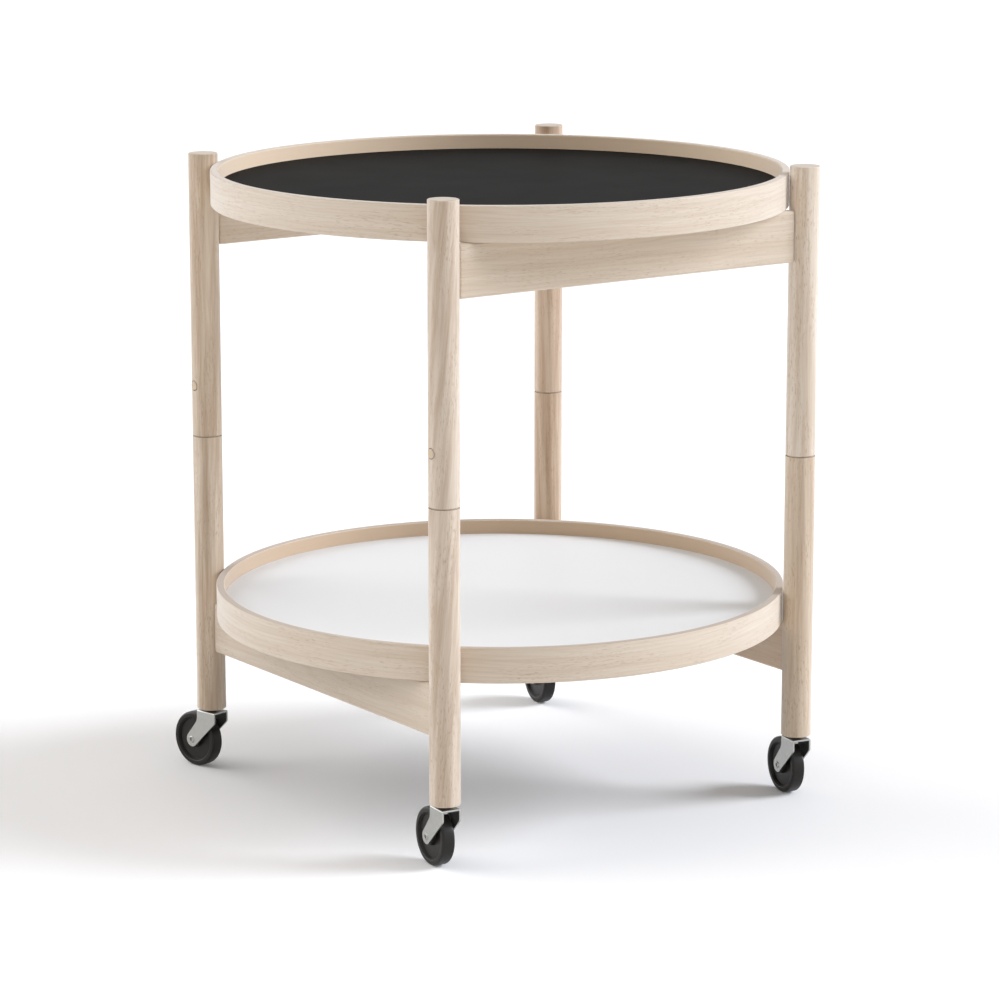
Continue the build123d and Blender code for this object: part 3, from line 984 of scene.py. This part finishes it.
@dataclass
class Tray:
    """A tray: a hoop bent from one beech strip, round a board with a laminate on each face."""

    level: Level
    finishes: Finishes
    sides: int = 320
    wall: float = 7 * MM
    edge: float = 1.2 * MM
    edge_faces: int = 4
    groove_depth: float = 3 * MM

    @property
    def name(self) -> str:
        """Which tray it is, as the names of its pieces say it."""
        return self.level.value

    def build(self) -> None:
        """Models the hoop and dresses the board."""
        self._hoop()
        dress(f"{self.name}_tray_core", self.finishes.core)
        for colour, laminate in self.finishes.laminates.items():
            dress(f"{self.name}_tray_{colour}_laminate", laminate)

    def _hoop(self) -> None:
        """Models the hoop: a short cylinder, hollowed, grooved for the board and eased along its edges."""
        node = f"{self.name}_tray_rim"
        low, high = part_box(node)
        board_low, board_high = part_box(f"{self.name}_tray_core")
        radius, inner = high.x, high.x - self.wall
        bpy.ops.mesh.primitive_cylinder_add(
            vertices=self.sides, radius=radius, depth=high.z - low.z, location=(0.0, 0.0, (low.z + high.z) / 2)
        )
        bench = Bench(f"{self.name}_tray_hoop")
        bench.pick(Element.FACE, lambda place, normal: abs(normal.z) > ALONG)
        bench.step_in(self.wall, 0.0)
        bpy.ops.mesh.bridge_edge_loops()
        for height in (board_low.z, board_high.z):
            bench.pick(Element.FACE, lambda place, normal: close(from_axis_z(place), inner))
            bpy.ops.mesh.bisect(plane_co=(0.0, 0.0, height), plane_no=(0.0, 0.0, 1.0))
        bench.pick(
            Element.FACE,
            lambda place, normal: close(from_axis_z(place), inner) and board_low.z < place.z < board_high.z,
        )
        bpy.ops.mesh.extrude_region()
        wider = (inner + self.groove_depth) / inner
        bench.widen(wider, wider, 1.0)
        bench.ease(
            lambda place, way: abs(way.z) < ACROSS
            and (close(place.z, low.z) or close(place.z, high.z))
            and (close(from_axis_z(place), radius) or close(from_axis_z(place), inner)),
            self.edge,
            self.edge_faces,
        )
        install(bench.finish(self.finishes.rims[self.level]), node)


@dataclass
class Wheel:
    """A caster's wheel, moulded in one piece: a crowned tread, a band with a bead, a dished web and a hub."""

    finishes: Finishes
    sides: int = 128
    radius: float = 25 * MM
    band_width: float = 12 * MM
    crown: float = 0.2 * MM
    tread_edge: float = 2 * MM
    tread_edge_faces: int = 5
    band: float = 4.6 * MM
    bead: float = 0.5 * MM
    draft: float = 0.6 * MM
    web_sink: float = 2.5 * MM
    hub_radius: float = 7.5 * MM
    hub_width: float = 14 * MM
    bore_radius: float = 4.1 * MM

    def model(self) -> bpy.types.Object:
        """Models one wheel about the X axis, from a cylinder whose ends are turned step by step.

        Returns:
            The wheel, with its middle at the origin.
        """
        edge_radius = self.radius - self.crown
        bench = turned_blank("caster_wheel_model", self.sides, edge_radius, self.band_width)
        bench.pick(Element.FACE, lambda place, normal: abs(normal.x) < ACROSS)
        bpy.ops.mesh.bisect(plane_co=(0.0, 0.0, 0.0), plane_no=(1.0, 0.0, 0.0))
        bench.pick(Element.EDGE, lambda place, way: close(place.x, 0.0))
        swell = self.radius / edge_radius
        bench.widen(1.0, swell, swell)
        bench.pick(Element.FACE, lambda place, normal: abs(normal.x) > ALONG)
        bench.step_in(self.band, 0.0)
        bench.step_in(self.draft, -self.web_sink / 2)
        bench.step_in(self.bead, 0.0)
        bench.step_in(self.draft, -self.web_sink / 2)
        web = edge_radius - self.band - self.bead - 2 * self.draft
        bench.step_in(web - self.hub_radius - self.draft, 0.0)
        bench.step_in(self.draft, (self.hub_width - self.band_width) / 2 + self.web_sink)
        bench.step_in(self.hub_radius - self.bore_radius, 0.0)
        bpy.ops.mesh.bridge_edge_loops()
        half = self.band_width / 2
        bench.ease(circle(half, edge_radius), self.tread_edge, self.tread_edge_faces)
        bench.ease(circle(half, edge_radius - self.band), self.bead)
        bench.ease(circle(self.hub_width / 2, self.hub_radius), self.bead)
        return bench.finish(self.finishes.nylon)


@dataclass
class Rivet:
    """A caster's axle: a rivet whose two heads were struck, which leaves a dimple in each."""

    finishes: Finishes
    sides: int = 64
    radius: float = 2.5 * MM
    length: float = 17.5 * MM
    head_radius: float = 3.2 * MM
    head_height: float = 0.7 * MM
    head_draft: float = 0.4 * MM
    dimple_radius: float = 1.55 * MM
    dimple_depth: float = 1.1 * MM
    dimple_draft: float = 0.15 * MM
    dimple_cone: float = 0.9 * MM
    dimple_cone_depth: float = 0.25 * MM
    edge: float = 0.22 * MM

    def model(self) -> bpy.types.Object:
        """Models one rivet about the X axis, with both heads at once.

        Returns:
            The rivet, with its middle at the origin.
        """
        bench = turned_blank("caster_axle_model", self.sides, self.radius, self.length)
        bench.pick(Element.FACE, lambda place, normal: abs(normal.x) > ALONG)
        bpy.ops.mesh.extrude_region()
        spread = self.head_radius / self.radius
        bench.widen(1.0, spread, spread)
        bench.step_in(self.head_draft, self.head_height)
        crown = self.head_radius - self.head_draft
        bench.step_in(crown - self.dimple_radius, 0.0)
        bench.step_in(self.dimple_draft, -self.dimple_depth)
        bench.step_in(self.dimple_cone, -self.dimple_cone_depth)
        face = self.length / 2 + self.head_height
        bench.ease(circle(face, crown), self.edge)
        bench.ease(circle(face, self.dimple_radius), self.edge / 2)
        return bench.finish(self.finishes.riveted)


@dataclass
class Fork:
    """A caster's fork, folded from sheet steel, with the soft edges that tumbling and plating leave."""

    finishes: Finishes
    edge: float = 0.22 * MM
    edge_faces: int = 3
    sharp_deg: float = 40.0
    flat_deg: float = 0.5
    weld: float = 0.001 * MM

    def build(self, corner: Corner) -> None:
        """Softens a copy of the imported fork.

        Args:
            corner: The leg that the caster is under.
        """
        node = f"caster_fork_{corner.value}"
        piece = copied(frame["nodes"][node].data, f"caster_{corner.value}_fork")
        bpy.ops.object.select_all(action="DESELECT")
        piece.select_set(True)
        bpy.context.view_layer.objects.active = piece
        bpy.ops.mesh.customdata_custom_splitnormals_clear()
        bench = Bench(piece.name)
        bpy.ops.mesh.select_all(action="SELECT")
        bpy.ops.mesh.remove_doubles(threshold=self.weld)
        bpy.ops.mesh.dissolve_limited(angle_limit=math.radians(self.flat_deg))
        bpy.ops.object.mode_set(mode="OBJECT")
        soften = piece.modifiers.new("tumbled edges", "BEVEL")
        soften.width = self.edge
        soften.segments = self.edge_faces
        soften.limit_method = "ANGLE"
        soften.angle_limit = math.radians(self.sharp_deg)
        bpy.ops.object.modifier_apply(modifier=soften.name)
        bpy.ops.object.mode_set(mode="EDIT")
        install(bench.finish(self.finishes.plated), node)


@dataclass
class Casters:
    """The four casters, each on its own swivel."""

    finishes: Finishes

    def build(self) -> None:
        """Models the forks, wheels and axles and dresses the turned parts."""
        models = {
            "wheel": (Wheel(self.finishes).model(), "wheel_plastic"),
            "axle": (Rivet(self.finishes).model(), "bright_steel"),
        }
        joints = {joint["name"]: joint for joint in frame["joints"]}
        for corner in Corner:
            to_axle = self._axle_frame(joints[f"wheel_spin_{corner.value}"])
            for part, (model, slot) in models.items():
                piece = copied(model.data, f"caster_{corner.value}_{part}")
                piece.data.transform(to_axle)
                install(piece, f"caster_{part}_{corner.value}")
            Fork(self.finishes).build(corner)
            # The collar's dark brown steel is painted shade and a painted reflection of the wood
            dress(f"caster_collar_{corner.value}", self.finishes.shade_browned)
            for part in ("socket", "stem", "bush"):
                dress(f"caster_{part}_{corner.value}", self.finishes.turned)
        for model, _ in models.values():
            bpy.data.objects.remove(model)

    def _axle_frame(self, spin: dict[str, object]) -> Matrix:
        """The matrix that takes a wheel from the origin, about X, to its axle.

        Args:
            spin: The wheel's joint in the record.

        Returns:
            The matrix.
        """
        along = Vector(spin["axis"]).normalized()
        up = Vector((0.0, 0.0, 1.0))
        turn = Matrix((along, up.cross(along), up)).transposed().to_4x4()
        return Matrix.Translation(spin["pos_m"]) @ turn


@dataclass
class Legs:
    """The four split legs and the rails between them."""

    finishes: Finishes

    def build(self) -> None:
        """Dresses the rods, the pivots and the rails."""
        for corner in Corner:
            dress(f"leg_upper_{corner.value}", self.finishes.rods[corner, Level.UPPER])
            dress(f"leg_lower_{corner.value}", self.finishes.rods[corner, Level.LOWER])
            dress(f"leg_spindle_{corner.value}", self.finishes.rods[corner, Level.LOWER])
            dress(f"leg_dowel_{corner.value}", self.finishes.dowels)
        for side in ("front", "back"):
            dress(f"upper_rail_{side}", self.finishes.upper_rails)
        for side, wood in self.finishes.lower_rails.items():
            dress(f"lower_rail_{side}", wood)


@dataclass
class Trolley:
    """The whole trolley, dressed piece by piece."""

    finishes: Finishes

    def build(self) -> None:
        """Builds the trays, the legs and the casters."""
        for level in Level:
            Tray(level, self.finishes).build()
        Legs(self.finishes).build()
        Casters(self.finishes).build()


def main() -> None:
    """Builds the studio and the trolley."""
    logging.basicConfig(level=logging.INFO, format="%(message)s")
    bpy.ops.object.select_all(action="DESELECT")
    Studio().build()
    Trolley(Finishes()).build()


if __name__ == "__main__":
    main()
